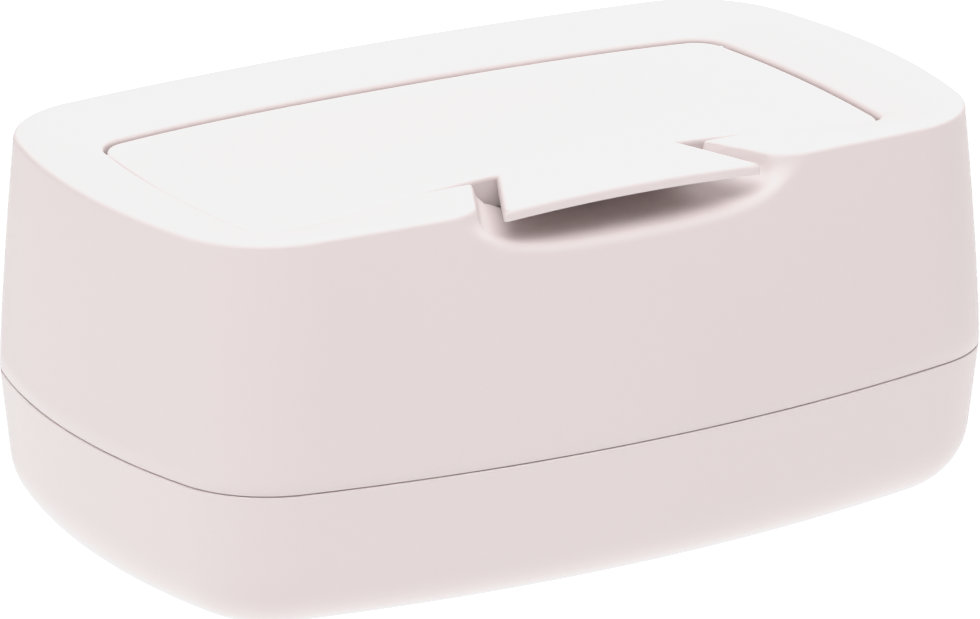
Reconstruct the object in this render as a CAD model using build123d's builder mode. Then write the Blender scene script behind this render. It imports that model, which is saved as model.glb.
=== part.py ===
from build123d import *
import os
from math import sqrt

# Baby wipes box: a shallow tray, a tall hood that lifts off it, and a recessed flip lid with a finger tab.
# Millimetres, +Z up, +X along the box, the finger tab faces -Y. The origin is on the table, under the middle.

foot_stand = 1.0            # height of the feet below the tray
wall = 2.2                  # moulded wall of tray, hood and lid
length = 250.0              # widest length, at the parting line
width = 161.0               # widest width, at the parting line
height = 106.2              # table to the hood's top face
parting_z = 41.3            # middle of the shadow gap between tray and hood
shadow_gap = 0.7            # visible gap between tray and hood

# Each level's outline: length, width, side radius, end radius, corner radius
foot_outline = (242.6, 152.4, 455.0, 189.0, 28.5)
parting_outline = (length, width, 455.0, 189.0, 29.0)
top_outline = (242.4, 139.4, 1130.0, 184.0, 30.0)
tray_edge_radius = 19.0     # rounded bottom edge of the tray
hood_edge_radius = 1.4      # softened top edge of the hood

lid_outline_size = (191.2, 100.0, 621.0, 287.0, 8.6)
lid_shift_y = -0.85         # the lid's middle, measured from the box's middle
lid_front_y = -46.5         # straight front edge of the lid, behind the scoop
lid_front_bend = 60.0       # easy bend from the straight front edge into the rounded sides
lid_gap = 1.0               # gap between lid and hood
lid_sink = 5.6              # the lid's ends and back edge lie this far below the hood's top
lid_rise = 6.9              # how far the domed lid rises again towards the finger tab, to just over the hood
lid_depth = 8.0             # underside of the lid's edge, below the hood's top
well_roll = 4.0             # rounded inner edge of the hood's rim
well_depth = 11.1           # floor of the well under the lid, below the hood's top
lid_round = 0.7             # softened top edge of the lid
lid_roof = 0.2              # the lid's panel is this much thicker than its skirt

tab_back = 27.0             # half-width of the finger tab where it leaves the lid
tab_front = 37.7            # half-width of the tab's front edge
tab_front_y = -70.4
tab_thickness = 2.5
tab_round = 1.0             # softened front edge of the tab
tab_corner = 1.2

scoop_back_y = lid_front_y - lid_gap
scoop_back = (34.0, 7.2, 4.0)     # half-width, depth and corner radius at the back of the thumb scoop
scoop_front = (46.5, 12.9, 9.0)   # the same at the front face
scoop_front_y = -72.5

hinge_y = 36.5
hinge_z = height - 7.4
pin_radius = 1.0
pin_play = 0.06             # play round the pins in the hood's bores
pin_grip = 0.03
pin_length = 15.0
pin_inner_x = 84.0
pin_outer_x = pin_inner_x + pin_length
boss_radius = 4.2           # hood's bosses that hold the pins
boss_end = 103.0
lid_boss = (81.0, 95.0, 2.3)    # the lid's bosses: inner end, outer end, radius
trough_radius = 13.6        # the lid's back edge swings down into this trough
trough_half = 94.8

opening_size = (124.0, 44.0, 16.0)   # dispensing opening: length, width, corner radius
opening_y = -10.0
coaming_width = 2.0
coaming_height = 1.7

seal_width = 3.2
seal_height = 2.0
seal_clear = 0.2            # play between a seal and what it meets when the box is shut
seal_middle = 1.0           # the lid seal's middle, outside the opening's edge

tongue_inset = (3.5, 5.3)   # the tray's locating rim, measured in from the parting outline
tongue_height = 5.0         # and how far it stands above the parting line
hood_seal_inset = (3.7, 5.1)
hood_seal_height = 1.6
ledge_thickness = 2.0       # the hood's inner ledge over that seal

foot_radius = 7.0
foot_recess = 0.6
foot_bevel = 0.3
foot_x, foot_y = 82.0, 42.0

plate_inset = 21.0                   # the press plate's edge, measured in from the tray's foot outline
plate_thickness = 4.0
plate_lip = 3.6                      # height of the rim round the plate
plate_rim = 2.5
plate_round = 1.0
plate_play = 0.2            # play between the press plate and the tray's floor
plate_slot = (84.0, 20.0)            # slot that a wipe is drawn through
slot_rim = 4.0                       # the plate's rim round that slot
slot_margin = 6.0                    # from the slot to the weight's pocket
weight_size = (176.0, 88.0, 20.0)
weight_thickness = 1.9
weight_play = 0.5           # play round the weight in its pocket

os.makedirs("parts", exist_ok=True)


def bulged_outline(size, inset=0.0):
    """Closed outline of eight tangent arcs: two long sides, two ends and the four corners between them."""
    half_length, half_width = size[0] / 2 - inset, size[1] / 2 - inset
    side, end, corner = size[2] - inset, size[3] - inset, max(size[4] - inset, 1.0)
    side_centre = Vector(0, half_width - side)
    end_centre = Vector(half_length - end, 0)
    between = end_centre - side_centre
    gap = between.length
    along = ((side - corner) ** 2 - (end - corner) ** 2 + gap**2) / (2 * gap)
    across = sqrt((side - corner) ** 2 - along**2)
    unit = between / gap
    corner_centre = side_centre + unit * along + Vector(unit.Y, -unit.X) * across
    on_side = side_centre + (corner_centre - side_centre).normalized() * side
    on_end = end_centre + (corner_centre - end_centre).normalized() * end
    middle = corner_centre + ((on_side + on_end) / 2 - corner_centre).normalized() * corner

    def at(point, sx, sy):
        return (sx * point.X, sy * point.Y)

    with BuildLine() as outline:
        for turn in (1, -1):
            ThreePointArc(at(on_end, turn, -turn), (turn * half_length, 0), at(on_end, turn, turn))
            ThreePointArc(at(on_end, turn, turn), at(middle, turn, turn), at(on_side, turn, turn))
            ThreePointArc(at(on_side, turn, turn), (0, turn * half_width), at(on_side, -turn, turn))
            ThreePointArc(at(on_side, -turn, turn), at(middle, -turn, turn), at(on_end, -turn, turn))
    return outline.edges()


def outline_between(low, high, share):
    """Outline sizes part of the way from one level to another."""
    return tuple(a + (b - a) * share for a, b in zip(low, high))


def hood_outline(z):
    return outline_between(parting_outline, top_outline, (z - parting_z) / (height - parting_z))


def tray_solid(inset, bottom, top, edge_radius):
    """The tray's tapering body with its rounded bottom edge, drawn in by an inset."""
    with BuildPart() as body:
        for z in (bottom, top):
            share = (z - foot_stand) / (parting_z - foot_stand)
            with BuildSketch(Plane.XY.offset(z)):
                make_face(bulged_outline(outline_between(foot_outline, parting_outline, share), inset))
        loft()
        fillet(body.faces().sort_by(Axis.Z)[0].edges(), edge_radius)
    return body.part


def hood_solid(inset, bottom, top, edge_radius):
    """The hood's tapering body with its softened top edge, drawn in by an inset."""
    with BuildPart() as body:
        for z in (bottom, top):
            with BuildSketch(Plane.XY.offset(z)):
                make_face(bulged_outline(hood_outline(z), inset))
        loft()
        fillet(body.faces().sort_by(Axis.Z)[-1].edges(), edge_radius)
    return body.part


def ring(z_low, z_high, outer_inset, inner_inset):
    """A band that follows the hood's wall at the parting line."""
    with BuildPart() as band:
        with BuildSketch(Plane.XY.offset(z_low)):
            make_face(bulged_outline(parting_outline, outer_inset))
            make_face(bulged_outline(parting_outline, inner_inset), mode=Mode.SUBTRACT)
        extrude(amount=z_high - z_low)
    return band.part


def lid_prism(grow, z_low, z_high):
    """The lid's outline with its straight front edge, grown or drawn in, between two heights."""
    with BuildPart() as prism:
        with BuildSketch(Plane.XY.offset(z_low)):
            with Locations((0, lid_shift_y)):
                add(make_face(bulged_outline(lid_outline_size, -grow), mode=Mode.PRIVATE))
            with Locations((0, lid_front_y - grow)):
                Rectangle(2 * length, width, align=(Align.CENTER, Align.MAX), mode=Mode.SUBTRACT)
            fillet(vertices().group_by(Axis.Y)[0], lid_front_bend)
        extrude(amount=z_high - z_low)
    return prism.part


def lid_dome(drop):
    """Everything under the lid's domed top: low at the ends and the back, high at the finger tab."""
    with BuildPart() as dome:
        for share in (-1.04, -0.75, -0.5, -0.25, 0, 0.25, 0.5, 0.75, 1.04):
            crown = max(lid_rise * (1 - share**2), 0.05)
            base = height - lid_sink - drop
            back = lid_outline_size[1] / 2 + lid_shift_y
            front = 2 * lid_front_y - back
            with BuildSketch(Plane.YZ.offset(share * lid_outline_size[0] / 2)):
                with BuildLine():
                    ThreePointArc((front, base), (lid_front_y, base + crown), (back, base))
                    Polyline((back, base), (back, base - 12), (front, base - 12), (front, base))
                make_face()
        loft()
    return dome.part


def scoop_solid(grow):
    """The thumb scoop: a channel that widens and deepens from the lid's front edge to the front face."""
    with BuildPart() as scoop:
        for y, (half, depth, corner) in ((scoop_back_y + grow, scoop_back), (scoop_front_y, scoop_front)):
            with BuildSketch(Plane.XZ.offset(-y)):
                with Locations((0, height + 10)):
                    Rectangle(2 * (half + grow), depth + grow + 10, align=(Align.CENTER, Align.MAX))
                fillet(vertices().group_by(Axis.Y)[0], corner + grow)
        loft()
    return scoop.part


def rounded_ring(z_low, z_high, outer, inner):
    """A band round the dispensing opening, between two distances from its edge."""
    with BuildPart() as band:
        with BuildSketch(Plane.XY.offset(z_low)):
            with Locations((0, opening_y)):
                RectangleRounded(opening_size[0] + 2 * outer, opening_size[1] + 2 * outer, opening_size[2] + outer)
                RectangleRounded(
                    opening_size[0] + 2 * inner, opening_size[1] + 2 * inner, opening_size[2] + inner,
                    mode=Mode.SUBTRACT,
                )
        extrude(amount=z_high - z_low)
    return band.part


def trough_half_round(radius, half):
    """The lower half of a cylinder round the hinge axis."""
    with BuildPart() as trough:
        with BuildSketch(Plane.YZ.offset(-half)):
            with Locations((hinge_y, hinge_z)):
                Circle(radius)
                Rectangle(2 * radius, radius, align=(Align.CENTER, Align.MIN), mode=Mode.SUBTRACT)
        extrude(amount=2 * half)
    return trough.part


def rod(x_from, x_to, radius):
    """A round bar on the hinge axis."""
    with BuildPart() as bar:
        with BuildSketch(Plane.YZ.offset(x_from)):
            with Locations((hinge_y, hinge_z)):
                Circle(radius)
        extrude(amount=x_to - x_from)
    return bar.part


def save(piece, name):
    piece.label = name
    export_step(piece, f"parts/{name}.step")


# Tray: the lower third, with a locating rim that stands up inside the hood
tray_top = parting_z - shadow_gap / 2
foot_places = [(x, y) for y in (-foot_y, foot_y) for x in (-foot_x, foot_x)]

with BuildPart() as base_tray:
    add(tray_solid(0, foot_stand, tray_top, tray_edge_radius))
    add(tray_solid(wall, foot_stand + wall, tray_top + 20, tray_edge_radius - wall), mode=Mode.SUBTRACT)
    add(ring(tray_top - 7, tray_top, wall - 0.4, tongue_inset[1]))
    add(ring(tray_top, parting_z + tongue_height, *tongue_inset))
    with Locations(*[(x, y, foot_stand) for x, y in foot_places]):
        Cylinder(foot_radius, foot_recess, align=(Align.CENTER, Align.CENTER, Align.MIN), mode=Mode.SUBTRACT)
save(base_tray.part, "base_tray")

# Soft seal on the locating rim
with BuildPart() as hood_seal:
    add(ring(parting_z + tongue_height, parting_z + tongue_height + hood_seal_height, *hood_seal_inset))
save(hood_seal.part, "hood_seal")

# Four rubber feet, let into the tray's floor
foot_names = ("foot_front_left", "foot_front_right", "foot_back_left", "foot_back_right")
for name, (x, y) in zip(foot_names, foot_places):
    with BuildPart() as foot:
        with Locations((x, y, 0)):
            Cylinder(foot_radius, foot_stand + foot_recess, align=(Align.CENTER, Align.CENTER, Align.MIN))
        chamfer(foot.edges().sort_by(Axis.Z)[0], foot_bevel)
    save(foot.part, name)

# Hood: outer shell, well for the lid with the dispensing opening, hinge trough and thumb scoop
with BuildPart() as scoop_backing:
    add(scoop_solid(wall))
    add(hood_solid(0, tray_top, height, hood_edge_radius), mode=Mode.INTERSECT)

ledge_z = parting_z + tongue_height + hood_seal_height + seal_clear
well_floor_z = height - well_depth

with BuildPart() as hood:
    add(hood_solid(0, parting_z + shadow_gap / 2, height, hood_edge_radius))
    add(hood_solid(wall, parting_z - 5, height - wall, 0.6), mode=Mode.SUBTRACT)
    add(ring(ledge_z, ledge_z + ledge_thickness, wall, tongue_inset[1] + 0.3))
    add(lid_prism(lid_gap + well_roll + wall, height - well_roll - wall, height - 0.5))
    add(lid_prism(lid_gap + wall, well_floor_z - wall, height - 0.5))
    add(trough_half_round(trough_radius + wall, trough_half + wall))
    add(rod(-boss_end, boss_end, boss_radius))
    add(scoop_backing.part)
    add(lid_prism(lid_gap, well_floor_z, height + 1), mode=Mode.SUBTRACT)
    rim = hood.faces().filter_by(Axis.Z).sort_by(Axis.Z)[-1]
    fillet(rim.inner_wires()[0].edges(), well_roll)
    add(trough_half_round(trough_radius, trough_half), mode=Mode.SUBTRACT)
    add(scoop_solid(0), mode=Mode.SUBTRACT)
    add(rounded_ring(well_floor_z, well_floor_z + coaming_height, coaming_width, 0))
    with BuildSketch(Plane.XY.offset(well_floor_z - 2 * wall)):
        with Locations((0, opening_y)):
            RectangleRounded(*opening_size)
    extrude(amount=4 * wall, mode=Mode.SUBTRACT)
    add(rod(-pin_outer_x - 1, pin_outer_x + 1, pin_radius + pin_play), mode=Mode.SUBTRACT)
save(hood.part, "hood")

# Lid: domed panel with a skirt, a finger tab, a rib for the seal and two hinge bosses
lid_edge_z = height - lid_depth

with BuildPart() as lid_hollow:
    add(lid_prism(-wall, lid_edge_z - 1, height))
    add(lid_dome(wall + lid_roof), mode=Mode.INTERSECT)

with BuildPart() as lid_ribs:
    add(rounded_ring(lid_edge_z, height, coaming_width + 1.5, -1.5))
    add(rod(-lid_boss[1], -lid_boss[0], lid_boss[2]))
    add(rod(*lid_boss))
    add(lid_prism(0, height - 20, height), mode=Mode.INTERSECT)
    add(lid_dome(0.5), mode=Mode.INTERSECT)

with BuildPart() as tab:
    with BuildSketch(Plane.XY.offset(lid_edge_z)):
        with BuildLine():
            Polyline(
                (-tab_back, lid_front_y + 1), (tab_back, lid_front_y + 1), (tab_back, lid_front_y),
                (tab_front, tab_front_y), (-tab_front, tab_front_y), (-tab_back, lid_front_y), close=True,
            )
        make_face()
        fillet(vertices().group_by(Axis.Y)[0], tab_corner)
    extrude(amount=lid_depth + 2)
    add(lid_dome(0), mode=Mode.INTERSECT)
    add(lid_dome(tab_thickness), mode=Mode.SUBTRACT)
    fillet(tab.faces().sort_by(Axis.Y)[0].edges().sort_by(Axis.Z)[-1], tab_round)

with BuildPart() as lid:
    add(lid_prism(0, lid_edge_z, height + 2))
    add(lid_dome(0), mode=Mode.INTERSECT)
    dome_edges = lid.faces().sort_by(Axis.Z)[-1].edges()
    fillet(dome_edges.filter_by_position(Axis.Y, lid_front_y + 1, width), lid_round)
    add(tab.part)
    add(lid_hollow.part, mode=Mode.SUBTRACT)
    add(lid_ribs.part)
    seal_z = well_floor_z + coaming_height + seal_clear
    seal_edges = seal_middle + seal_width / 2, seal_middle - seal_width / 2
    add(rounded_ring(seal_z, seal_z + seal_height, *seal_edges), mode=Mode.SUBTRACT)
    add(rod(-pin_outer_x, -pin_inner_x, pin_radius + pin_grip), mode=Mode.SUBTRACT)
    add(rod(pin_inner_x, pin_outer_x, pin_radius + pin_grip), mode=Mode.SUBTRACT)
save(lid.part, "lid")

# Soft seal pressed into the groove of the lid's rib
with BuildPart() as lid_seal:
    add(rounded_ring(seal_z, seal_z + seal_height, *seal_edges))
save(lid_seal.part, "lid_seal")

# Two hinge pins, from the lid's bosses into the hood
for name, start in (("hinge_pin_left", -pin_outer_x), ("hinge_pin_right", pin_inner_x)):
    save(rod(start, start + pin_length, pin_radius), name)

# Press plate that lies on the wipes, with its slot, and the steel weight under it
plate_z = foot_stand + wall + plate_play
with BuildPart() as press_plate:
    with BuildSketch(Plane.XY.offset(plate_z)):
        make_face(bulged_outline(foot_outline, plate_inset))
    extrude(amount=plate_thickness + plate_lip)
    with BuildSketch(Plane.XY.offset(plate_z + plate_thickness)):
        make_face(bulged_outline(foot_outline, plate_inset + plate_rim))
        SlotOverall(plate_slot[0] + 2 * slot_rim, plate_slot[1] + 2 * slot_rim, mode=Mode.SUBTRACT)
    extrude(amount=plate_lip, mode=Mode.SUBTRACT)
    fillet(press_plate.edges().group_by(Axis.Z)[-1], plate_round)
    with BuildSketch(Plane.XY.offset(plate_z)):
        SlotOverall(*plate_slot)
    extrude(amount=plate_thickness + plate_lip, mode=Mode.SUBTRACT)
    with BuildSketch(Plane.XY.offset(plate_z)):
        RectangleRounded(*weight_size)
        SlotOverall(plate_slot[0] + 2 * slot_margin, plate_slot[1] + 2 * slot_margin, mode=Mode.SUBTRACT)
    extrude(amount=weight_thickness, mode=Mode.SUBTRACT)
save(press_plate.part, "press_plate")

with BuildPart() as plate_weight:
    with BuildSketch(Plane.XY.offset(plate_z)):
        RectangleRounded(*(size - 2 * weight_play for size in weight_size[:2]), weight_size[2] - weight_play)
        SlotOverall(*(size + 2 * (slot_margin + weight_play) for size in plate_slot), mode=Mode.SUBTRACT)
    extrude(amount=weight_thickness)
save(plate_weight.part, "plate_weight")
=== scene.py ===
import bpy
import math
import numpy as np
from mathutils import Matrix, Vector, geometry


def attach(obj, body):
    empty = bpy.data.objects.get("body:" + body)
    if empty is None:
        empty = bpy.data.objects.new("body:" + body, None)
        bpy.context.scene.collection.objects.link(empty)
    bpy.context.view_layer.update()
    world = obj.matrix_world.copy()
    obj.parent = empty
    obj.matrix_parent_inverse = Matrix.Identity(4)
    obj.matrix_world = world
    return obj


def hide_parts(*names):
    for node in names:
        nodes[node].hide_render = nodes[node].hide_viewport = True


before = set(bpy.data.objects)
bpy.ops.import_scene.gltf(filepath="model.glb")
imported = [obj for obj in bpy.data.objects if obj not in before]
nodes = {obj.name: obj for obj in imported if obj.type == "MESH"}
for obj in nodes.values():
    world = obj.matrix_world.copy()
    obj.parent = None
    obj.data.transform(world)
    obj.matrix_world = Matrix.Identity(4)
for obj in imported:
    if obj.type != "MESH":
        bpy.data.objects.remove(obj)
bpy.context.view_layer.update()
MM = 0.001

# Camera: a long lens from the front left, a little above the box, as the photograph was taken.
# The distance, lens and angles come from the outline, the parting line and the rim in the picture.
camera_distance = 2.0035
camera_azimuth = math.radians(-30.94)
camera_elevation = math.radians(19.05)
camera_roll = math.radians(0.07)
camera_lens = 279.7
aim_right, aim_up, aim_floor = -0.00047, 0.04841, 0.001

toward = Vector((
    math.sin(camera_azimuth) * math.cos(camera_elevation),
    -math.cos(camera_azimuth) * math.cos(camera_elevation),
    math.sin(camera_elevation),
))
level = Vector((math.cos(camera_azimuth), math.sin(camera_azimuth), 0.0))
upright = toward.cross(level)
right = level * math.cos(camera_roll) + upright * math.sin(camera_roll)
up = upright * math.cos(camera_roll) - level * math.sin(camera_roll)
place = right * aim_right + up * aim_up + toward * camera_distance + Vector((0, 0, aim_floor))
camera_data = bpy.data.cameras.new("camera")
camera_data.sensor_width = 36.0
camera_data.lens = camera_lens
camera_data.clip_end = 20.0
camera = bpy.data.objects.new("camera", camera_data)
camera.matrix_world = Matrix.Translation(place) @ Matrix((right, up, toward)).transposed().to_4x4()
bpy.context.scene.collection.objects.link(camera)
bpy.context.scene.camera = camera


def linear(hex_colour):
    """An sRGB hex value as a linear colour."""
    parts = [int(hex_colour[i:i + 2], 16) / 255 for i in (1, 3, 5)]
    return [c / 12.92 if c <= 0.04045 else ((c + 0.055) / 1.055) ** 2.4 for c in parts] + [1.0]


def add_node(owner, kind, settings=None, **links):
    """A node with its settings. A link is a value, or the output of another node, and is named
    for its socket: From_Min is "From Min", and _6 is input number 6, where names repeat."""
    node = owner.node_tree.nodes.new(kind)
    for name, value in (settings or {}).items():
        setattr(node, name, value)
    for name, value in links.items():
        socket = node.inputs[int(name[1:]) if name[0] == "_" else name.replace("_", " ")]
        if isinstance(value, bpy.types.NodeSocket):
            owner.node_tree.links.new(value, socket)
        else:
            socket.default_value = value
    return node


def new_material(name, **values):
    """A material and its shader, with values set on the shader's own sockets."""
    material = bpy.data.materials.new(name)
    material.use_nodes = True
    shader = material.node_tree.nodes["Principled BSDF"]
    for socket, value in values.items():
        shader.inputs[socket.replace("_", " ")].default_value = value
    return material, shader


def at_height(ring, z):
    """A flat ring, laid at a height."""
    return np.column_stack([ring, np.full(len(ring), z)])


def skin(rings, cap_first=False, cap_last=False):
    """Vertices and faces of a skin through rings of equal count; a cap closes an end."""
    count = len(rings[0])
    vertices = np.concatenate(rings)
    faces = []
    for low in range(0, len(vertices) - count, count):
        high = low + count
        for i in range(count):
            ahead = (i + 1) % count
            faces.append((low + i, low + ahead, high + ahead, high + i))
    if cap_first:
        faces.append(tuple(range(count))[::-1])
    if cap_last:
        faces.append(tuple(range(len(vertices) - count, len(vertices))))
    return vertices, faces


# Studio: a tent of white cloth that glows by height. Its stops are the sine of the elevation and
# the light there: the walls are lit from below, the top from overhead, and the sides near the
# horizon are dark, so that little light reaches under the lid's tab.
tent_stops = (
    (-1.0, 0.85), (-0.5, 2.25), (-0.2, 1.05), (0.0, 0.0), (0.45, 0.0), (0.75, 1.2), (1.0, 2.3),
)
tent_peak = max(light for _, light in tent_stops)
world = bpy.data.worlds.new("white_tent")
world.use_nodes = True
direction = add_node(world, "ShaderNodeTexCoord")
parts = add_node(world, "ShaderNodeSeparateXYZ", Vector=direction.outputs["Generated"])
share = add_node(world, "ShaderNodeMapRange", Value=parts.outputs["Z"], From_Min=-1.0)
tent_light = add_node(world, "ShaderNodeValToRGB", Fac=share.outputs["Result"])
stops = tent_light.color_ramp.elements
for sine, _ in tent_stops[1:-1]:
    stops.new((sine + 1) / 2)
for stop, (_, light) in zip(stops, tent_stops):
    stop.color = [light / tent_peak] * 3 + [1.0]
tent = world.node_tree.nodes["Background"]
tent.inputs["Strength"].default_value = tent_peak
world.node_tree.links.new(tent_light.outputs["Color"], tent.inputs["Color"])
bpy.context.scene.world = world

# Film: linear up to the walls' tone, then a long shoulder to a soft, even white.
film = bpy.context.scene.view_settings
film.view_transform = "Standard"
film.look = "None"
film.use_curve_mapping = True
film.curve_mapping.clip_max_x = 4.0
response = film.curve_mapping.curves[3]
response.points[1].location = (4.0, 1.0)
for light_in, light_out in ((0.78, 0.78), (0.9, 0.872), (1.02, 0.894), (2.0, 0.9)):
    response.points.new(light_in, light_out)
for point in response.points:
    point.handle_type = "VECTOR"
film.curve_mapping.update()

# Sweep: a wide bowl of white paper, flat under the box, that rises all round. Only the camera sees
# it, and the tent lights the box.
sweep_columns = 48
sweep_flat, sweep_rise, sweep_lean = 4.5, 3.0, 1.5
profile = [(radius, 0.0) for radius in np.linspace(0.5, sweep_flat, 5)]
for lean in np.linspace(0, sweep_lean, 10)[1:]:
    profile.append((sweep_flat + sweep_rise * math.sin(lean), sweep_rise * (1 - math.cos(lean))))
turns = np.linspace(0, 2 * math.pi, sweep_columns + 1)[:-1]
circle = np.column_stack([np.cos(turns), np.sin(turns)])
sweep_points, sweep_faces = skin([at_height(r * circle, z) for r, z in profile[::-1]], False, True)
sweep_mesh = bpy.data.meshes.new("white_sweep")
sweep_mesh.from_pydata([tuple(point) for point in sweep_points], [], sweep_faces)
sweep_mesh.shade_smooth()
lit_paper, _ = new_material(
    "lit_white_sweep", Base_Color=linear("#F6F6F6"), Roughness=0.9,
    Emission_Color=linear("#FFFFFF"), Emission_Strength=12.0,
)
sweep_mesh.materials.append(lit_paper)
sweep = bpy.data.objects.new("white_sweep", sweep_mesh)
bpy.context.scene.collection.objects.link(sweep)
sweep.visible_diffuse = False
sweep.visible_glossy = False
sweep.visible_shadow = False

# Soft boxes: two stand high in front, at the left and right, and two behind. All aim at the box.
soft_box_aim = Vector((0, 0, 0.05))
for name, place, size, power in (
    ("front_left", (-0.94, -0.94, 2.12), (1.6, 1.4), 23.0),
    ("front_right", (0.66, -1.15, 2.12), (1.6, 1.4), 8.3),
    ("left_back", (-2.3, 0.9, 0.6), (1.4, 1.2), 6.6),
    ("right_back", (1.6, 1.2, 1.6), (1.4, 1.2), 26.9),
):
    light = bpy.data.lights.new(name, "AREA")
    light.shape = "RECTANGLE"
    light.size, light.size_y = size
    light.energy = power
    lamp = bpy.data.objects.new(name, light)
    lamp.location = place
    lamp.rotation_euler = (Vector(place) - soft_box_aim).to_track_quat("Z", "Y").to_euler()
    bpy.context.scene.collection.objects.link(lamp)

# Tray: the lower shell, injection moulded in pale pinkish-beige polypropylene. Its outline bulges
# on all four sides, its bottom edge is a wide round, and a locating rim stands up inside the hood.
# All sizes are in millimetres.
foot_stand = 1.0
wall = 2.2
parting_z = 41.3
shadow_gap = 0.31           # the dark line between the tray and the hood
height = 106.2
# An outline: its length and width, and the radius of its long sides, of its ends and its corners.
foot_outline = (242.6, 152.4, 455.0, 189.0, 28.5)
parting_outline = (250.0, 161.0, 455.0, 189.0, 29.0)
top_outline = (242.4, 139.4, 1130.0, 184.0, 30.0)
tray_edge_radius = 19.0
tray_draft = 0.099          # how far the tray's wall leans out for each millimetre up
tongue_outer, tongue_inner = 3.5, 5.3
tongue_height = 5.0
tongue_root = 7.0           # it grows out of the wall this far below the parting line
edge_break = 0.25           # the parting edges are broken by this much
lip_round = 0.4             # and the edges of the rims by this much

# Columns of the skins: across the front they are closest where the thumb scoop's sides are.
wide_pitch, close_pitch = 1.5, 0.45
scoop_columns = np.concatenate([np.arange(start, end, pitch) for start, end, pitch in (
    (-60, -51, wide_pitch), (-51, -27, close_pitch), (-27, 27, wide_pitch),
    (27, 51, close_pitch), (51, 60.1, wide_pitch),
)])
columns_end = scoop_columns[-1]
side_columns, corner_columns, end_columns = 10, 22, 28
smallest_corner = 0.8


def sizes_between(low, high, share):
    """Each size, a share of the way from its low to its high value."""
    return tuple(a + (b - a) * share for a, b in zip(low, high))


def outline_ring(size, inset=0.0):
    """Points round a bulged outline: the front side from left to right, then the right end, back
    and left end. Column for column, the rings of two outlines lie beside each other."""
    half_length, half_width = size[0] / 2 - inset, size[1] / 2 - inset
    side, end, corner = size[2] - inset, size[3] - inset, max(size[4] - inset, smallest_corner)
    side_y, end_x = half_width - side, half_length - end
    reach = math.hypot(end_x, side_y)
    along = ((side - corner) ** 2 - (end - corner) ** 2 + reach ** 2) / (2 * reach)
    across = math.sqrt((side - corner) ** 2 - along ** 2)
    ux, uy = end_x / reach, -side_y / reach
    cx, cy = ux * along + uy * across, side_y + uy * along - ux * across
    side_angle = math.atan2(cy - side_y, cx)
    end_angle = math.atan2(cy, cx - end_x)
    to_corner = side * math.cos(side_angle) - columns_end
    outer = columns_end + to_corner * np.linspace(0, 1, side_columns + 1)[1:]
    xs = np.concatenate([-outer[::-1], scoop_columns, outer])
    front = np.stack([xs, -(side_y + np.sqrt(side ** 2 - xs ** 2))], 1)
    turn = np.linspace(side_angle, end_angle, corner_columns + 1)[1:]
    back_corner = np.stack([cx + corner * np.cos(turn), cy + corner * np.sin(turn)], 1)
    fan = np.linspace(-end_angle, end_angle, end_columns + 1)[1:-1]
    right_end = np.stack([end_x + end * np.cos(fan), end * np.sin(fan)], 1)
    right_part = np.concatenate([back_corner * (1, -1), right_end, back_corner[::-1]])
    return np.concatenate([front, right_part, front[::-1] * (1, -1), right_part[::-1] * (-1, 1)])


def make_piece(name, patches, material, sharp):
    """One mesh object, in metres, from patches of millimetre vertices and faces. Edges of more
    than the sharp angle, in degrees, are shaded sharp."""
    vertices, faces, start = [], [], 0
    for patch_vertices, patch_faces in patches:
        vertices += [tuple(v * MM for v in vertex) for vertex in patch_vertices]
        faces += [tuple(start + i for i in face) for face in patch_faces]
        start = len(vertices)
    mesh = bpy.data.meshes.new(name)
    mesh.from_pydata(vertices, [], faces)
    mesh.validate()
    mesh.materials.append(material)
    mesh.shade_smooth()
    mesh.set_sharp_from_angle(angle=math.radians(sharp))
    piece = bpy.data.objects.new(name, mesh)
    bpy.context.scene.collection.objects.link(piece)
    return piece


def drifting_colour(material, shader, scale, detail, dark, pale):
    """A colour that drifts between two tones over the piece, and the piece's own coordinates."""
    on_piece = add_node(material, "ShaderNodeTexCoord").outputs["Object"]
    drift = add_node(
        material, "ShaderNodeTexNoise", Vector=on_piece, Scale=scale, Detail=detail,
    )
    tone = add_node(
        material, "ShaderNodeMix", {"data_type": "RGBA"},
        _0=drift.outputs["Fac"], _6=linear(dark), _7=linear(pale),
    )
    material.node_tree.links.new(tone.outputs[2], shader.inputs["Base Color"])
    return on_piece


# Polypropylene, moulded with a fine spark-eroded texture: a soft, satin, slightly warm white. The
# texture's grain is about 0.4 mm, and the colour drifts by a percent or so across the moulding.
satin, shader = new_material("satin_moulded_polypropylene", Roughness=0.48, IOR=1.49)
on_piece = drifting_colour(satin, shader, 9.0, 2.0, "#DACFCE", "#D7CCCB")
grain = add_node(satin, "ShaderNodeTexNoise", Vector=on_piece, Scale=2500.0, Detail=1.0)
relief = add_node(
    satin, "ShaderNodeBump", Height=grain.outputs["Fac"], Strength=0.05, Distance=0.0002,
)
satin.node_tree.links.new(relief.outputs["Normal"], shader.inputs["Normal"])

tray_top = parting_z - shadow_gap / 2


def tray_outline(z):
    share = (z - foot_stand) / (parting_z - foot_stand)
    return sizes_between(foot_outline, parting_outline, share)


def rounded_foot(inset, floor_z, radius):
    """Rings from the flat floor, round the bottom edge, to the start of the wall."""
    lean = math.atan(tray_draft)
    centre_out = tray_draft * radius - radius / math.cos(lean)
    rings = []
    for angle in np.linspace(-math.pi / 2, -lean, 15):
        out = centre_out + radius * math.cos(angle)
        z = floor_z + radius + radius * math.sin(angle)
        drawn_in = inset + tray_draft * (z - floor_z) - out
        rings.append(at_height(outline_ring(tray_outline(z), drawn_in), z))
    return rings


def tray_wall(inset, z_from, z_to, steps):
    return [
        at_height(outline_ring(tray_outline(z), inset), z)
        for z in np.linspace(z_from, z_to, steps)
    ]


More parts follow.
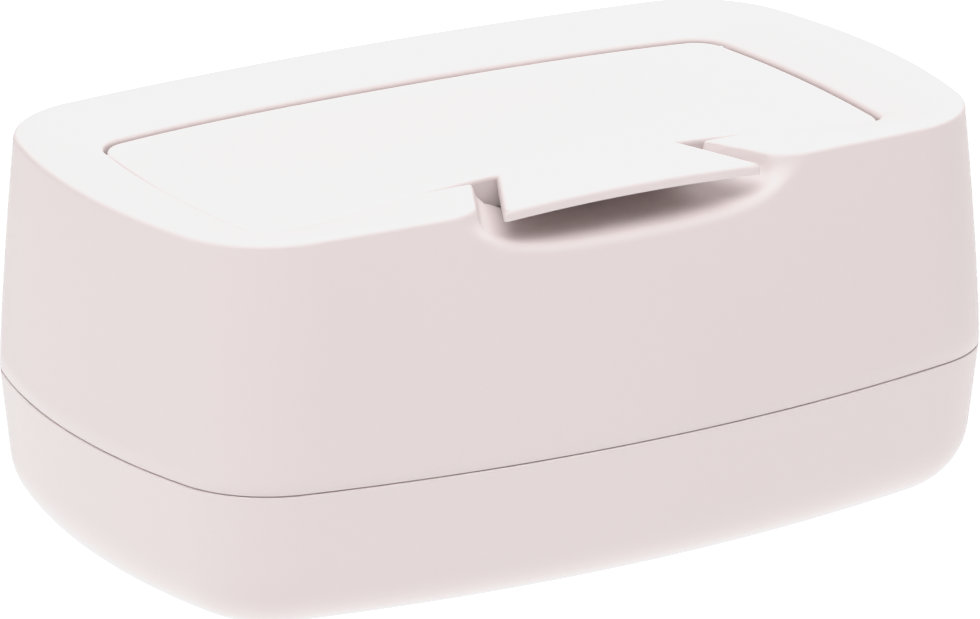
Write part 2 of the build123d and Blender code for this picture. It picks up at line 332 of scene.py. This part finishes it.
outer = rounded_foot(0, foot_stand, tray_edge_radius)
outer += tray_wall(0, outer[-1][0][2] + 1, tray_top - edge_break, 12)
outer += tray_wall(edge_break, tray_top, tray_top, 1)
tongue_top = parting_z + tongue_height
tongue = [at_height(outline_ring(parting_outline, inset), z) for inset, z in (
    (tongue_outer, tray_top), (tongue_outer, tongue_top - lip_round),
    (tongue_outer + lip_round, tongue_top), (tongue_inner - lip_round, tongue_top),
    (tongue_inner, tongue_top - lip_round), (tongue_inner, tray_top - tongue_root),
)]
inner = rounded_foot(wall, foot_stand + wall, tray_edge_radius - wall)
inner += tray_wall(wall, inner[-1][0][2] + 1, tray_top - tongue_root - 1, 6)
tray = make_piece("tray", [skin(outer + tongue + inner[::-1], True, True)], satin, 40)
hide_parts("base_tray")
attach(tray, "base")


def finish_nodes(material, *names):
    """Carried-over nodes keep their shape and take a material."""
    for name in names:
        nodes[name].data.materials.clear()
        nodes[name].data.materials.append(material)


# Feet: four soft discs of grey thermoplastic rubber, pressed into round recesses of the tray's
# floor. The rubber is dull, with a faint mottle of about a millimetre.
rubber, shader = new_material("grey_thermoplastic_rubber", Roughness=0.75)
drifting_colour(rubber, shader, 900.0, 3.0, "#8D8A88", "#A19E9B")
finish_nodes(rubber, "foot_front_left", "foot_front_right", "foot_back_left", "foot_back_right")

# Seals: soft rings of milky silicone, one on the tray's locating rim and one in the lid's rib.
# Silicone is smooth and a little see-through, so its edges look lighter than its body.
silicone, shader = new_material(
    "milky_silicone_rubber", Roughness=0.4, Subsurface_Weight=0.2, Subsurface_Scale=0.002,
)
drifting_colour(silicone, shader, 300.0, 2.0, "#E9E9E7", "#F1F1F0")
finish_nodes(silicone, "hood_seal", "lid_seal")

# Hood: the tall upper shell, moulded in the same plastic. Its top has a rolled rim round the well
# for the lid, and a thumb scoop is let into the rim and the front wall, with a soft lip below.
hood_edge_radius = 1.4
top_crown = 0.72            # the top drops this far at 100 mm from its middle
crown_from_z, crown_to_z = 88.0, height - 4     # the walls drop with it between these heights
well_depth = 11.1
well_floor_z = height - well_depth
lid_gap = 0.9
rim_over = 0.7              # the rim's inner edge stands this far over the lid
rim_under = 0.1             # and at least this far under the hood's top
rim_round = 1.0
scoop_back_y, scoop_front_y = -47.1, -71.0
scoop_back = (34.0, 10.2, 2.5)      # half-width, depth and squareness at the back of the scoop
scoop_front = (46.3, 12.1, 3.2)     # the same at the front face
scoop_beyond = (-0.3, 1.6)          # its shape goes on past both, to these shares of its length
squareness_limits = (2.4, 4.0)
back_lip, low_lip, high_lip = 1.2, 2.3, 8.0     # how round the scoop's edge is, at each place
lip_turn_z = 98.0                   # the front edge grows rounder from this height to the top
front_wall_cosine = 0.99            # the front wall leans back this much
pivot_y, pivot_z = -58.5, 84.0      # a point inside the front wall's section, under the scoop

# The lid lies in the well: a little over the rim at the finger tab, and low at its ends and back.
lid_outline_size = (191.2, 100.0, 621.0, 287.0, 8.6)
lid_shift_y = -0.85
lid_front_y = -46.5
lid_front_soften = 1.2
lid_sink = 6.3              # the lid's ends and back edge lie this far below the hood's top
lid_peak = 1.3              # its crest, behind the finger tab, is this far over the hood's top
tab_slope, tab_slope_soften = 0.05, 3.0
tab_slope_y = lid_front_y - 2
lid_half_length = lid_outline_size[0] / 2
lid_back_y = lid_outline_size[1] / 2 + lid_shift_y


def crown(x):
    return top_crown * (x / 100) ** 2


def hood_outline(z):
    share = (z - parting_z) / (height - parting_z)
    return sizes_between(parting_outline, top_outline, share)


def lid_ring(grow):
    """The lid's outline with its straight front edge, grown by a distance."""
    ring = outline_ring(lid_outline_size, -grow) + (0, lid_shift_y)
    front = lid_front_y - grow
    over = ring[:, 1] - front
    ring[:, 1] = front + (over + np.sqrt(over ** 2 + lid_front_soften ** 2 / 4)) / 2
    return ring


def dome_z(x, y):
    """Height of the lid's domed top, which slopes down again along the tab."""
    end = np.clip(np.abs(x) / lid_half_length, 0, 1) ** 2
    back = np.clip((y - lid_front_y) / (lid_back_y - lid_front_y), 0, 1) ** 2
    ahead = tab_slope_y - y
    ahead = (ahead + np.sqrt(ahead ** 2 + tab_slope_soften ** 2)) / 2
    fall = (lid_sink + lid_peak) * (1 - (1 - end) * (1 - back))
    return height + lid_peak - tab_slope * ahead - fall


def rim_edge_z(x, y):
    """Height of the rim's inner edge, a little over the lid."""
    return np.minimum(dome_z(x, y) + rim_over, height - rim_under - crown(x))


def top_z(x, edge_z, share):
    """The top runs from its outer edge down to the rim's inner edge in one easy curve."""
    return edge_z + (height - crown(x) - edge_z) * (1 - (1 - share) ** 2)


def round_join(a, b, radius):
    """Distance to the overlap of two bodies whose edge is rounded."""
    rounded = -radius + np.hypot(np.maximum(a + radius, 0), np.maximum(b + radius, 0))
    return np.where((a > -radius) & (b > -radius), rounded, np.maximum(a, b))


def scoop_share(y, least, most):
    """How far a place is along the scoop, from its back to the front face."""
    return np.clip((scoop_back_y - y) / (scoop_back_y - scoop_front_y), least, most)


def scoop_field(x, y, z):
    """Below one inside the thumb scoop, above one in the plastic round it."""
    half, depth, square = sizes_between(scoop_back, scoop_front, scoop_share(y, *scoop_beyond))
    square = np.clip(square, *squareness_limits)
    below = np.maximum(height - z, 0)
    return (np.abs(x / half) ** square + (below / depth) ** square) ** (1 / square)


def scoop_distance(x, y, z):
    """Distance from the scoop's surface, outwards into the plastic."""
    step, least_slope = 0.05, 0.004
    here = scoop_field(x, y, z)
    rises = [
        scoop_field(*spot) - here
        for spot in ((x + step, y, z), (x, y + step, z), (x, y, z - step))
    ]
    slope = np.sqrt(sum(rise ** 2 for rise in rises)) / step
    return (here - 1) / np.maximum(slope, least_slope)


def front_wall_y(x, z):
    """Where the hood's front wall stands, at a place along it and a height."""
    half_width = np.interp(z, (parting_z, height), (parting_outline[1] / 2, top_outline[1] / 2))
    radius = np.interp(z, (parting_z, height), (parting_outline[2], top_outline[2]))
    return -(half_width - radius + np.sqrt(radius ** 2 - x ** 2))


def hood_distance(x, y, z):
    """Distance to the hood's front with the scoop cut out of it; below zero inside."""
    edge_y = front_wall_y(x, height) + hood_edge_radius
    across = np.clip((scoop_back_y - y) / (scoop_back_y - edge_y), 0, 1)
    front = (front_wall_y(x, z) - y) * front_wall_cosine
    rise = np.clip((z - lip_turn_z) / (height - lip_turn_z), 0, 1)
    front_lip = low_lip + (high_lip - low_lip) * rise ** 2 * (3 - 2 * rise)
    lip = back_lip + (front_lip - back_lip) * scoop_share(y, 0, 1)
    walls = round_join(front, -scoop_distance(x, y, z), lip)
    top = z - top_z(x, rim_edge_z(x, scoop_back_y), across)
    body = round_join(top, walls, hood_edge_radius)
    return round_join(body, y - scoop_back_y, rim_round)


def cut_scoop(rings, depth):
    """Draws the front columns of the rings towards the pivot, by halving the way there, until
    they lie a depth below the scoop's surface."""
    rings = np.array(rings)
    patch = rings[:, side_columns:side_columns + len(scoop_columns)]
    x, y, z = patch[..., 0], patch[..., 1], patch[..., 2]
    low, high = np.zeros(x.shape), np.ones(x.shape)
    for _ in range(40):
        mid = (low + high) / 2
        at_mid = hood_distance(x, pivot_y + (y - pivot_y) * mid, pivot_z + (z - pivot_z) * mid)
        inside = at_mid < -depth
        low, high = np.where(inside, mid, low), np.where(inside, high, mid)
    reach = np.where(z > pivot_z + 2, low, 1.0)
    patch[..., 1] = pivot_y + (y - pivot_y) * reach
    patch[..., 2] = pivot_z + (z - pivot_z) * reach
    return list(rings)


# Well, rim and outside: from under the lid, over the rolled rim and the top, and down the walls.
trough_radius = 13.6
hinge_y, hinge_z = 36.5, height - 7.4
trough_front_y = hinge_y - math.sqrt(trough_radius ** 2 - (hinge_z - well_floor_z) ** 2)


def well_bottom(y, below=0.0):
    """Height of the well's floor, and of the trough that the lid's back edge swings into."""
    level, radius = well_floor_z - below, trough_radius + below
    dip = hinge_z - np.sqrt(np.maximum(radius ** 2 - (y - hinge_y) ** 2, 0))
    return np.where(y > trough_front_y, np.minimum(dip, level), level)


def hood_ring(inset, out, z):
    """A ring of the hood's wall, whose upper part drops with the crown of the top."""
    ring = at_height(outline_ring(hood_outline(z), inset + out), z)
    share = np.clip((z - crown_from_z) / (crown_to_z - crown_from_z), 0, 1)
    ring[:, 2] -= crown(ring[:, 0]) * share
    return ring


def hood_wall(inset, z_from, z_to, steps):
    return [hood_ring(inset, 0, z) for z in np.linspace(z_from, z_to, steps)]


def rim_rings(inset, foot_z):
    """Rings up the well's wall and over the rim and the top; the inset gives their inner side."""
    bend = max(hood_edge_radius - inset, lip_round)
    edge = []
    for angle in np.linspace(math.pi / 2, 0, 7):
        z = height - inset - bend + bend * math.sin(angle)
        edge.append(hood_ring(inset, bend * (1 - math.cos(angle)), z))
    line = lid_ring(lid_gap + inset)
    across = edge[0][:, :2] - line
    reach = np.hypot(*across.T)
    edge_z = rim_edge_z(*line.T)
    wall_rise = edge_z - rim_round - inset - foot_z
    rings = [np.column_stack([line, foot_z + wall_rise * t]) for t in np.linspace(0, 1, 6)[:-1]]
    steps = [
        (rim_round * (1 - math.cos(angle)) / reach, 1 - math.sin(angle))
        for angle in np.linspace(0, math.pi / 2, 7)
    ]
    steps += [
        (rim_round / reach + (1 - rim_round / reach) * share, 0)
        for share in np.linspace(0, 1, 24)[1:-1]
    ]
    for share, drop in steps:
        ring = line + across * share[:, None]
        z = top_z(ring[:, 0], edge_z, share) - inset - rim_round * drop
        rings.append(np.column_stack([ring, z]))
    return rings + edge


# The walls' rings lie close together where the scoop cuts in, and further apart below it.
hood_foot_z = parting_z + shadow_gap / 2
close_rings_z, wide_rings_z = 90, 86
below_floor = 3             # the well's wall runs on this far through its floor
outside = rim_rings(0, well_bottom(lid_ring(lid_gap)[:, 1]) - below_floor)
outside += hood_wall(0, height - 2.6, close_rings_z, 16)
outside += hood_wall(0, wide_rings_z, hood_foot_z + edge_break, 12)
inside = rim_rings(wall, well_floor_z - wall)
inside += hood_wall(wall, height - 6, close_rings_z, 8)
inside += hood_wall(wall, wide_rings_z, hood_foot_z, 8)
hood_foot = at_height(outline_ring(parting_outline, edge_break), hood_foot_z)
shell = skin(cut_scoop(outside, 0) + [hood_foot] + cut_scoop(inside, wall)[::-1])


def turned(patch):
    """The patch with its faces turned over, for rings that run down or outwards."""
    vertices, faces = patch
    return vertices, [face[:1] + face[:0:-1] for face in faces]


def is_within(loop, x, y):
    """Whether a place is inside a loop: a line from it to the right crosses it an odd number of
    times."""
    ahead = np.roll(loop, -1, 0)
    crosses = (loop[:, 1] > y) != (ahead[:, 1] > y)
    rise = np.where(ahead[:, 1] == loop[:, 1], 1e-9, ahead[:, 1] - loop[:, 1])
    at_x = loop[:, 0] + (y - loop[:, 1]) * (ahead[:, 0] - loop[:, 0]) / rise
    return np.count_nonzero(crosses & (x < at_x)) % 2 == 1


def fill(boundary, z_of, pitch, hole=None, upwards=True):
    """A surface over a flat outline, and round a hole in it, at the height that z_of gives."""
    loops = [boundary] if hole is None else [boundary, hole]

    def is_kept(x, y):
        return is_within(boundary, x, y) and (hole is None or not is_within(hole, x, y))

    flat, edges = [], []
    for loop in loops:
        first = len(flat)
        flat += [Vector(point) for point in loop]
        edges += [(first + i, first + (i + 1) % len(loop)) for i in range(len(loop))]
    rims = np.concatenate(loops)
    start, end = np.min(boundary, 0) + pitch / 2, np.max(boundary, 0)
    for x in np.arange(start[0], end[0], pitch):
        for y in np.arange(start[1], end[1], pitch):
            if np.min(np.hypot(rims[:, 0] - x, rims[:, 1] - y)) > pitch * 0.6 and is_kept(x, y):
                flat.append(Vector((x, y)))
    points, _, triangles, *_ = geometry.delaunay_2d_cdt(flat, edges, [], 0, 1e-5)
    points = np.array([tuple(point) for point in points])
    kept = [tuple(three) for three in triangles if is_kept(*points[list(three)].mean(0))]
    if not upwards:
        kept = [three[::-1] for three in kept]
    return np.column_stack([points, z_of(*points.T)]), kept


# The well's floor has the dispensing opening, a rounded rectangle with a raised rim round it, and
# ends at the trough. Its outline is the well's wall, cut in two at the trough's front edge.
opening_length, opening_width, opening_corner = 124.0, 44.0, 16.0
opening_y = -10.0
coaming_width, coaming_height = 2.0, 1.7


def opening_ring(grow):
    """A rounded rectangle round the dispensing opening."""
    half_x, half_y = opening_length / 2 - opening_corner, opening_width / 2 - opening_corner
    radius = opening_corner + grow
    ring = []
    for corner, (sx, sy) in enumerate(((1, 1), (-1, 1), (-1, -1), (1, -1))):
        for angle in np.linspace(corner, corner + 1, 13) * math.pi / 2:
            x = sx * half_x + radius * math.cos(angle)
            ring.append((x, opening_y + sy * half_y + radius * math.sin(angle)))
    return np.array(ring)


floor_line = lid_ring(lid_gap + 0.2)
over_trough = np.flatnonzero(floor_line[:, 1] > trough_front_y)
back_line = floor_line[over_trough[0]:over_trough[-1] + 1]
front_line = np.concatenate([floor_line[over_trough[-1] + 1:], floor_line[:over_trough[0]]])
beside_x = np.interp(
    trough_front_y, (front_line[-1, 1], back_line[0, 1]), (front_line[-1, 0], back_line[0, 0]),
)
trough_ends = np.array([(beside_x, trough_front_y), (-beside_x, trough_front_y)])
floor_loop = np.concatenate([front_line, trough_ends])
trough_loop = np.concatenate([trough_ends[::-1], back_line])
dispensing_hole = opening_ring(0)
well_floor = fill(floor_loop, lambda x, y: np.full(len(x), well_floor_z), 6, dispensing_hole)
under_floor = fill(
    floor_loop, lambda x, y: np.full(len(x), well_floor_z - wall), 6, dispensing_hole, False,
)
trough = fill(trough_loop, lambda x, y: well_bottom(y), 2.5)
under_trough = fill(trough_loop, lambda x, y: well_bottom(y, wall), 4, None, False)
coaming_top = well_floor_z + coaming_height
coaming = turned(skin([at_height(opening_ring(grow), z) for grow, z in (
    (0, well_floor_z - wall), (0, coaming_top - lip_round), (lip_round, coaming_top),
    (coaming_width - lip_round, coaming_top), (coaming_width, coaming_top - lip_round),
    (coaming_width, well_floor_z - 0.2),
)]))
hood = make_piece(
    "hood_shell", [turned(shell), well_floor, under_floor, trough, under_trough, coaming],
    satin, 50,
)
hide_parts("hood")
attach(hood, "hood")

# Lid: a thin domed panel of the same plastic, low at its ends and back and a little over the rim at
# the finger tab. It has a short skirt, a rib inside for the seal, and a boss at each end for the
# hinge pins.
lid_round, tab_round = 0.8, 1.5
lid_edge_z = height - 8.0
tab_back, tab_front, tab_front_y = 26.6, 38.3, -69.6    # half-widths, and where the tab ends
tab_thickness = 2.8
tab_corner = 1.7
rib_gap = 1.5               # the rib stands this far off both sides of the opening's rim
boss_inner_x, boss_radius = 81.0, 2.3


def along_line(start, end, pitch):
    """Points from a start to an end, without the end."""
    start, end = np.array(start), np.array(end)
    count = max(int(math.dist(start, end) / pitch), 1)
    return [tuple(start + (end - start) * i / count) for i in range(count)]


def inset_loop(loop, distance):
    """The loop, which runs counter-clockwise, drawn inwards by a distance."""
    ahead = np.roll(loop, -1, 0) - loop
    normal = np.column_stack([-ahead[:, 1], ahead[:, 0]]) / np.hypot(*ahead.T)[:, None]
    mean = normal + np.roll(normal, 1, 0)
    mean /= (mean * mean).sum(1)[:, None] / 2
    return loop + mean * np.reshape(distance, (-1, 1))


def on_dome(ring, below):
    """A flat ring laid a distance below the lid's domed top."""
    return np.column_stack([ring, dome_z(*ring.T) - below])


def strip(upper, lower):
    """A band of faces between two open rows of points that run counter-clockwise."""
    count = len(upper)
    faces = [(count + i, i, i + 1, count + i + 1) for i in range(count - 1)]
    return np.concatenate([lower, upper]), faces


def lowered(row, z):
    """A copy of a row of points, at another height."""
    row = row.copy()
    row[:, 2] = z
    return row


# The tab's edge, from its left root round its two rounded corners to its right root.
tab_tip = np.array((tab_front, tab_front_y))
tab_side_unit = tab_tip - (tab_back, lid_front_y)
tab_side_unit = tab_side_unit / np.hypot(*tab_side_unit)
corner_start, corner_end = tab_tip - (tab_corner, 0), tab_tip - tab_side_unit * tab_corner
right_corner = [
    tuple((1 - t) ** 2 * corner_start + 2 * t * (1 - t) * tab_tip + t ** 2 * corner_end)
    for t in np.linspace(0, 1, 6)
]
left_corner = [(-x, y) for x, y in right_corner[::-1]]
tab_edge = along_line((-tab_back, lid_front_y), left_corner[0], 1.2) + left_corner[:-1]
tab_edge += along_line(left_corner[-1], right_corner[0], 1.5) + right_corner[:-1]
tab_edge += along_line(right_corner[-1], (tab_back, lid_front_y), 1.2)
tab_edge = np.array(tab_edge + [(tab_back, lid_front_y)])

# The panel's edge is rounder along the tab and along the rest of the lid's front.
panel = lid_ring(0)
at_tab = (panel[:, 1] < lid_front_y + 0.5) & (np.abs(panel[:, 0]) < tab_back + 0.4)
first, last = np.flatnonzero(at_tab)[[0, -1]]
lid_loop = np.concatenate([panel[:first], tab_edge, panel[last + 1:]])
ahead = np.clip((lid_front_y - 4 - lid_loop[:, 1]) / 12, 0, 1)
beside = np.clip((lid_front_y + 6 - lid_loop[:, 1]) / 5, 0, 1) * (np.abs(lid_loop[:, 0]) < 80)
edge_round = lid_round + (tab_round - lid_round) * np.maximum(ahead, beside)
rings = []
for angle in np.linspace(0, math.pi / 2, 7):
    ring = inset_loop(lid_loop, edge_round * (1 - math.cos(angle)))
    rings.append(on_dome(ring, edge_round * (1 - math.sin(angle))))
lid_edge = skin(rings)
lid_top = fill(rings[-1][:, :2], dome_z, 3.0)

# Below the edge: the skirt round the panel, the tab's side and underside, the skirt's front under
# the tab, and the panel's inner wall and ceiling.
tab_end = first + len(tab_edge)
around = np.concatenate([rings[0][tab_end - 1:], rings[0][:first + 1]])
skirt = strip(around, lowered(around, lid_edge_z))
tab_rim = rings[0][first:tab_end]
tab_side = strip(tab_rim, lowered(tab_rim, dome_z(*tab_edge.T) - tab_thickness))
tab_under = fill(tab_edge, lambda x, y: dome_z(x, y) - tab_thickness, 3.0, None, False)
front_row = np.linspace((-tab_back, lid_front_y), (tab_back, lid_front_y), 25)
front_top = on_dome(front_row, tab_thickness - 0.3)
front_skirt = strip(front_top, lowered(front_top, lid_edge_z))
inner_panel = inset_loop(panel, wall)
lid_walls = turned(skin([
    at_height(panel, lid_edge_z), at_height(inner_panel, lid_edge_z), on_dome(inner_panel, wall),
]))
lid_ceiling = fill(inner_panel, lambda x, y: dome_z(x, y) - wall, 5.0, None, False)
rib = skin([at_height(opening_ring(grow), z) for grow, z in (
    (-rib_gap, height - 2), (-rib_gap, lid_edge_z),
    (coaming_width + rib_gap, lid_edge_z), (coaming_width + rib_gap, height - 2),
)])
rib[0][:, 2] = np.minimum(rib[0][:, 2], dome_z(*rib[0][:, :2].T) - 1)


def boss(x_from, x_to):
    """A round boss on the hinge's axis, up to the panel."""
    turns = np.linspace(0, 2 * math.pi, 33)[:-1]
    y, z = hinge_y + boss_radius * np.cos(turns), hinge_z + boss_radius * np.sin(turns)
    rings = [
        np.column_stack([np.full(len(y), x), y, np.minimum(z, dome_z(x, y) - 1)])
        for x in np.linspace(x_from, x_to, 6)
    ]
    return skin(rings, True, True)


left_boss = boss(1 - lid_half_length, -boss_inner_x)
right_boss = boss(boss_inner_x, lid_half_length - 1)
lid = make_piece(
    "flip_lid", [
        lid_edge, lid_top, skirt, tab_side, tab_under, front_skirt, lid_walls, lid_ceiling, rib,
        left_boss, right_boss,
    ], satin, 50,
)
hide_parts("lid")
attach(lid, "lid")

# Press plate: a loose plate that lies on the wipes and lets them come up one at a time through its
# slot. It is moulded in plain white polypropylene, with the same satin face as the shells.
white_satin, shader = new_material("white_moulded_polypropylene", Roughness=0.42)
drifting_colour(white_satin, shader, 14.0, 2.0, "#E9E9E8", "#EFEFEE")
finish_nodes(white_satin, "press_plate")

# Weight and hinge pins: stainless steel, the weight stamped from brushed sheet, the pins drawn
# wire. The brushing runs along the box, with lines about 0.3 mm apart.
stainless, shader = new_material(
    "brushed_stainless_steel", Base_Color=linear("#B9B9BA"), Metallic=1.0,
)
on_piece = add_node(stainless, "ShaderNodeTexCoord").outputs["Object"]
along_box = add_node(stainless, "ShaderNodeMapping", Vector=on_piece, Scale=(30, 3300, 3300))
lines = add_node(
    stainless, "ShaderNodeTexNoise", Vector=along_box.outputs["Vector"], Scale=1.0, Detail=2.0,
)
dullness = add_node(
    stainless, "ShaderNodeMapRange", Value=lines.outputs["Fac"], To_Min=0.26, To_Max=0.4,
)
stainless.node_tree.links.new(dullness.outputs["Result"], shader.inputs["Roughness"])
finish_nodes(stainless, "plate_weight", "hinge_pin_left", "hinge_pin_right")
